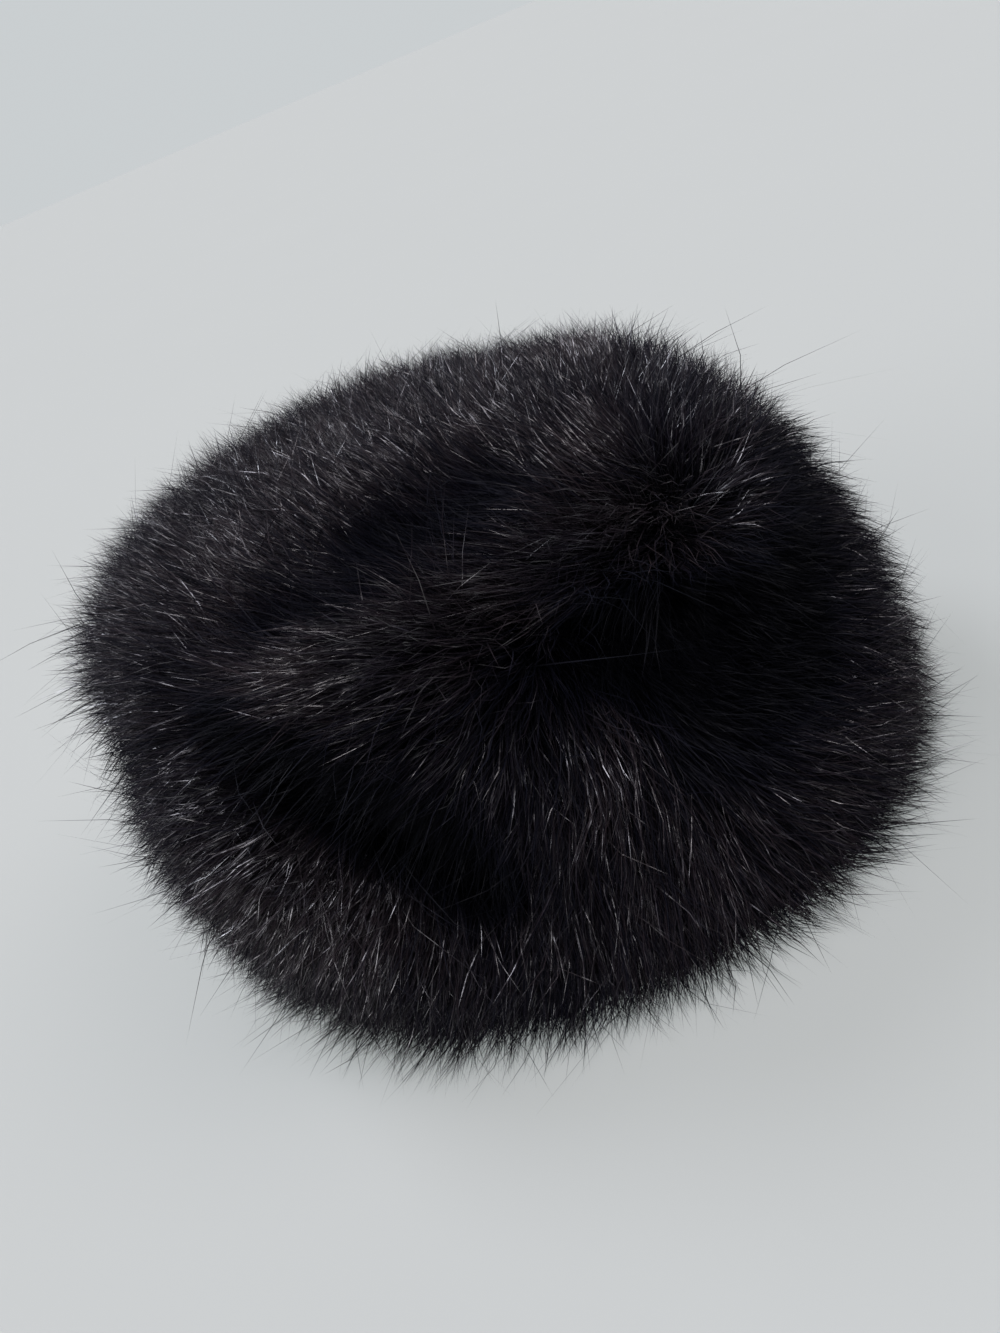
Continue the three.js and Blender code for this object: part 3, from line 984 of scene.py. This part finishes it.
def cloth_material(cloth):
    """Matt black knit: rows of small stitches with a little fluff."""
    material, nodes, links, shader = new_material("knitted_backing")
    place = nodes.new("ShaderNodeTexCoord").outputs["Object"]
    stitches = nodes.new("ShaderNodeTexWave")
    stitches.wave_type = "BANDS"
    stitches.bands_direction = "Z"
    stitches.inputs["Scale"].default_value = 1 / (math.pi * cloth.knit_pitch)
    stitches.inputs["Distortion"].default_value = 2.5
    stitches.inputs["Detail Scale"].default_value = 2.0
    links.new(place, stitches.inputs["Vector"])
    fluff = noise(nodes, links, place, FLUFF_SCALE, FINE_DETAIL)
    share = ranged(nodes, links, stitches.outputs["Fac"], KNIT_SHADE)
    colour = mixed(nodes, links, share, KNIT_SHADOW, tuple(cloth.cloth_colour))
    links.new(colour, shader.inputs["Base Color"])
    height = nodes.new("ShaderNodeMath")
    height.operation = "MULTIPLY_ADD"
    links.new(fluff, height.inputs[0])
    height.inputs[1].default_value = FLUFF_SHARE
    links.new(stitches.outputs["Fac"], height.inputs[2])
    bump = nodes.new("ShaderNodeBump")
    bump.inputs["Distance"].default_value = KNIT_BUMP
    links.new(height.outputs["Value"], bump.inputs["Height"])
    links.new(bump.outputs["Normal"], shader.inputs["Normal"])
    shader.inputs["Roughness"].default_value = 0.9
    shader.inputs["Sheen Weight"].default_value = 0.2
    return material


FLOOR_SCALE = 3.0  # patches a metre
FLOOR_DETAIL = 3.0
FLOOR_SHADE = 0.97  # how dark the darker patches are


def floor_material(colour, glow):
    """Pale smooth floor, lit a little from below as a light table is."""
    material, nodes, links, shader = new_material("pale_floor")
    place = nodes.new("ShaderNodeTexCoord").outputs["Object"]
    patches = noise(nodes, links, place, FLOOR_SCALE, FLOOR_DETAIL)
    darker = tuple(FLOOR_SHADE * part for part in colour)
    links.new(mixed(nodes, links, patches, darker, colour), shader.inputs["Base Color"])
    shader.inputs["Roughness"].default_value = 0.75
    shader.inputs["Specular IOR Level"].default_value = 0.0
    shader.inputs["Emission Color"].default_value = (*glow, 1)
    shader.inputs["Emission Strength"].default_value = 1.0
    return material


def finish_piece(piece, node, material):
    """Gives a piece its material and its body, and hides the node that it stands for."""
    piece.data.materials.clear()
    piece.data.materials.append(material)
    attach(piece, BODY)
    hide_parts(node)


# Pieces


BODY_SHARE = 0.3  # how much of the pile's depth the body under the hairs fills
BODY_SKIN = 1 * MM  # what is this close to the cloth stays where it is


def pulled_in_body(name, fur_node, cloth_node):
    """A closed body under the hairs: the fur's outer form drawn in towards the cloth and smoothed."""
    places, triangles = welded(fur_node)
    tree = node_tree(cloth_node)
    moved = places.copy()
    for index, place in enumerate(places):
        near, _, _, distance = tree.find_nearest(Vector(place))
        if distance > BODY_SKIN:
            moved[index] = np.array(near) + (place - np.array(near)) * BODY_SHARE
    moved[:, 2] = np.maximum(moved[:, 2], FLOOR_CLEARANCE)
    mesh = bpy.data.meshes.new(name)
    mesh.from_pydata(moved.tolist(), [], triangles.tolist())
    mesh.shade_smooth()
    piece = bpy.data.objects.new(name, mesh)
    bpy.context.scene.collection.objects.link(piece)
    smooth = piece.modifiers.new("rounded", "SUBSURF")
    smooth.levels = smooth.render_levels = 1
    bpy.context.view_layer.update()
    rounded = bpy.data.meshes.new_from_object(piece.evaluated_get(bpy.context.evaluated_depsgraph_get()))
    piece.modifiers.clear()
    piece.data = rounded
    piece.data.name = name
    return piece


SECTORS = ("brow", "left", "back", "right")


def sector_of(points):
    """Which quarter of the hat each hair grows in: its number in SECTORS."""
    roots = points[:, 0] - HAT_MIDDLE
    around = np.degrees(np.arctan2(roots[:, 1] / HALF_WIDTH, roots[:, 0] / HALF_LENGTH))
    return np.round(around / 90).astype(int) % len(SECTORS)


def side_pieces(settings, kind, hair, count, material, grown, rng):
    """Pieces of one kind of hair round the band, a quarter each."""
    points, normals, lots = grow(hair, SIDE_FORM, node_tree("side_band"), count, *grown, settings, rng)
    quarters = sector_of(points)
    for quarter, sector in enumerate(SECTORS):
        mine = quarters == quarter
        piece = ribbons(f"side_{kind}_{sector}", points[mine], normals[mine], lots[mine], hair, rng)
        finish_piece(piece, "side_fur", material)


LOCK_UNEVEN = 3.0 * MM
CLUMP_UNEVEN = 2.2 * MM
LOCK_WAY = 0.55  # how far clumps turn to the way of their lock


def tufts_for(skin, cloth, settings, rng):
    """Clumps and locks over a skin, and which lock each clump is in."""
    locks = tufts_on(skin, cloth, settings.lock_spacing, LOCK_UNEVEN, settings, rng)
    clumps = tufts_on(skin, cloth, settings.clump_spacing, CLUMP_UNEVEN, settings, rng)
    lock_of = nearest(tops(locks), tops(clumps))
    ways = unit(clumps.ways * (1 - LOCK_WAY) + locks.ways[lock_of] * LOCK_WAY)
    ways = unit(ways - clumps.normals * (ways * clumps.normals).sum(axis=1, keepdims=True))
    return clumps._replace(ways=ways), locks, lock_of


def pile_group():
    """The shader group of the pile, made once."""
    return bpy.data.node_groups.get("Pile tone") or pile_tone_group()


class HAT_OT_cloth(Operator):
    """Finishes the backing cloth of the band and the crown as a matt black knit"""

    bl_idname = "hat.cloth"
    bl_label = "Backing cloth"

    def execute(self, context):
        material = cloth_material(context.scene.fur_hat.cloth)
        for name in CLOTH_NODES:
            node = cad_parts[name]
            node.data.materials.clear()
            node.data.materials.append(material)
        return {"FINISHED"}


SIDE_FLYAWAYS = 0.7  # shares of all flyaways
CROWN_FLYAWAYS = 0.3


class HAT_OT_side_pile(Operator):
    """Grows the pile of the band: its body, underfur, long hairs and flyaways"""

    bl_idname = "hat.side_pile"
    bl_label = "Side pile"

    def execute(self, context):
        hat = context.scene.fur_hat
        rng = np.random.default_rng(hat.pile.seed)
        grown = tufts_for(SIDE_FORM, node_tree("side_band"), hat.pile, rng)
        hairs = pile_material("side_hairs", pile_group(), hat.colours, strands=True)
        under = pile_material("side_pile_body", pile_group(), hat.colours, strands=False)
        body = pulled_in_body("side_pile_body", "side_fur", "side_band")
        finish_piece(body, "side_fur", under)
        side_pieces(hat.pile, "underfur", UNDER, hat.pile.side_under, hairs, grown, rng)
        side_pieces(hat.pile, "hairs", GUARD, hat.pile.side_guards, hairs, grown, rng)
        flyaways = int(hat.pile.flyaways * SIDE_FLYAWAYS)
        side_pieces(hat.pile, "flyaways", FLYAWAY, flyaways, hairs, grown, rng)
        return {"FINISHED"}


class HAT_OT_crown_pile(Operator):
    """Grows the pile of the crown: its body, underfur, long hairs and flyaways"""

    bl_idname = "hat.crown_pile"
    bl_label = "Crown pile"

    def execute(self, context):
        hat = context.scene.fur_hat
        rng = np.random.default_rng(hat.pile.seed + 1)
        cloth = node_tree("crown_panel")
        grown = tufts_for(CROWN_FORM, cloth, hat.pile, rng)
        hairs = pile_material("crown_hairs", pile_group(), hat.colours, strands=True)
        under = pile_material("crown_pile_body", pile_group(), hat.colours, strands=False)
        body = pulled_in_body("crown_pile_body", "crown_fur", "crown_panel")
        finish_piece(body, "crown_fur", under)
        kinds = (
            ("crown_underfur", UNDER, hat.pile.crown_under),
            ("crown_hairs", GUARD, hat.pile.crown_guards),
            ("crown_flyaways", FLYAWAY, int(hat.pile.flyaways * CROWN_FLYAWAYS)),
        )
        for name, hair, count in kinds:
            points, normals, lots = grow(hair, CROWN_FORM, cloth, count, *grown, hat.pile, rng)
            finish_piece(ribbons(name, points, normals, lots, hair, rng), "crown_fur", hairs)
        return {"FINISHED"}


PHOTO_HEIGHT = 1333
CAMERA_TARGET = Vector((0.0, 0.0, 0.06))
CONTENT_RIGHT = 11.9  # pixels that the hat sits right of the camera's middle in the photograph
CONTENT_DOWN = -16.2  # pixels that it sits below it
SENSOR = 36
NEAREST = 0.01


def add_camera(stage):
    """The camera at the photograph's angle to the hat, tilted as the hat is there."""
    around, up = stage.camera_around, stage.camera_up
    back = Vector((math.sin(around) * math.cos(up), -math.cos(around) * math.cos(up), math.sin(up)))
    right = (-back).cross(Vector((0, 0, 1))).normalized()
    level = right.cross(-back)
    roll = stage.camera_roll
    across = right * math.cos(roll) - level * math.sin(roll)
    upward = right * math.sin(roll) + level * math.cos(roll)
    data = bpy.data.cameras.new("camera")
    data.sensor_fit = "AUTO"
    data.sensor_width = SENSOR
    data.lens = stage.lens
    data.shift_x = -CONTENT_RIGHT / PHOTO_HEIGHT
    data.shift_y = CONTENT_DOWN / PHOTO_HEIGHT
    data.clip_start = NEAREST
    camera = bpy.data.objects.new("camera", data)
    bpy.context.scene.collection.objects.link(camera)
    turn = Matrix((across, upward, back)).transposed().to_4x4()
    camera.matrix_world = Matrix.Translation(CAMERA_TARGET + back * stage.camera_distance) @ turn
    bpy.context.scene.camera = camera


class Lamp(NamedTuple):
    """A soft light from far off: its angles in degrees round the hat, from the left towards the camera, and
    above the floor, how wide it looks from the hat, and its colour."""

    around: float
    up: float
    spread: float
    colour: tuple


LAMPS = {
    "top": Lamp(108, 72, 30, (1.0, 0.98, 1.1)),
    "fore": Lamp(166, 52, 34, (1.05, 0.98, 1.0)),
    "side": Lamp(24, 30, 40, (1.0, 0.97, 1.02)),
}
KEY_COLOUR = (0.95, 0.98, 1.1)
DOME_WAY = (-0.35, 0.93, 0.1)  # towards the pale side of the studio
DOME_SHADE = Ramp(-0.5, 0.45, 0.0, 1.0)
FLOOR_RADIUS = 30.0
FLOOR_CORNERS = 96


def add_light(name, around, up, spread, colour, strength):
    """A soft light from far off, by its angles round the hat from the left and above the floor."""
    data = bpy.data.lights.new(name, "SUN")
    data.energy = strength
    data.angle = spread
    data.color = colour
    light = bpy.data.objects.new(name, data)
    back = Vector((-math.cos(around) * math.cos(up), -math.sin(around) * math.cos(up), math.sin(up)))
    light.location = back
    light.rotation_euler = back.to_track_quat("Z", "Y").to_euler()
    bpy.context.scene.collection.objects.link(light)


def add_dome(stage):
    """Light from all round, pale behind the hat and to its left, and dim on the camera's side."""
    world = bpy.data.worlds.new("studio")
    world.use_nodes = True
    nodes, links = world.node_tree.nodes, world.node_tree.links
    way = nodes.new("ShaderNodeTexCoord").outputs["Generated"]
    facing = nodes.new("ShaderNodeVectorMath")
    facing.operation = "DOT_PRODUCT"
    links.new(way, facing.inputs[0])
    facing.inputs[1].default_value = DOME_WAY
    share = ranged(nodes, links, facing.outputs["Value"], DOME_SHADE)
    colour = mixed(nodes, links, share, tuple(stage.dim_colour), tuple(stage.pale_colour))
    links.new(colour, nodes["Background"].inputs["Color"])
    bpy.context.scene.world = world


def add_floor(colour, glow):
    """A wide round floor."""
    angles = [corner / FLOOR_CORNERS * 2 * math.pi for corner in range(FLOOR_CORNERS)]
    rim = [(FLOOR_RADIUS * math.cos(angle), FLOOR_RADIUS * math.sin(angle), 0.0) for angle in angles]
    mesh = bpy.data.meshes.new("floor")
    mesh.from_pydata(rim, [], [range(FLOOR_CORNERS)])
    mesh.materials.append(floor_material(colour, glow))
    floor = bpy.data.objects.new("floor", mesh)
    bpy.context.scene.collection.objects.link(floor)


class HAT_OT_stage(Operator):
    """Sets up the camera, the pale floor, the light from all round and the soft lights"""

    bl_idname = "hat.stage"
    bl_label = "Stage"

    def execute(self, context):
        stage = context.scene.fur_hat.stage
        add_camera(stage)
        add_floor(tuple(stage.floor_colour), tuple(stage.floor_glow))
        add_dome(stage)
        add_light("key", stage.key_around, stage.key_up, stage.key_spread, KEY_COLOUR, stage.key_strength)
        strengths = {"top": stage.top_strength, "fore": stage.fore_strength, "side": stage.side_strength}
        for name, lamp in LAMPS.items():
            around, up, spread = (math.radians(angle) for angle in lamp[:3])
            add_light(name, around, up, spread, lamp.colour, strengths[name])
        context.scene.view_settings.view_transform = "Standard"
        return {"FINISHED"}


OPERATORS = (HAT_OT_stage, HAT_OT_cloth, HAT_OT_side_pile, HAT_OT_crown_pile)


class HAT_PT_panel(Panel):
    """Lists the steps that dress the hat"""

    bl_label = "Fur Hat"
    bl_idname = "HAT_PT_panel"
    bl_space_type = "VIEW_3D"
    bl_region_type = "UI"
    bl_category = "Fur Hat"

    def draw(self, context):
        for operator in OPERATORS:
            self.layout.operator(operator.bl_idname)


CLASSES = (
    PileSettings,
    PileColours,
    ClothSettings,
    StageSettings,
    HatSettings,
    *OPERATORS,
    HAT_PT_panel,
)


def register():
    """Makes the settings, the steps and the panel known."""
    for item in CLASSES:
        bpy.utils.register_class(item)
    bpy.types.Scene.fur_hat = PointerProperty(type=HatSettings)


def unregister():
    """Takes the settings, the steps and the panel away again."""
    del bpy.types.Scene.fur_hat
    for item in reversed(CLASSES):
        bpy.utils.unregister_class(item)


def main():
    """Dresses the hat."""
    register()
    bpy.ops.hat.stage()
    bpy.ops.hat.cloth()
    bpy.ops.hat.side_pile()
    bpy.ops.hat.crown_pile()


if __name__ == "__main__":
    main()
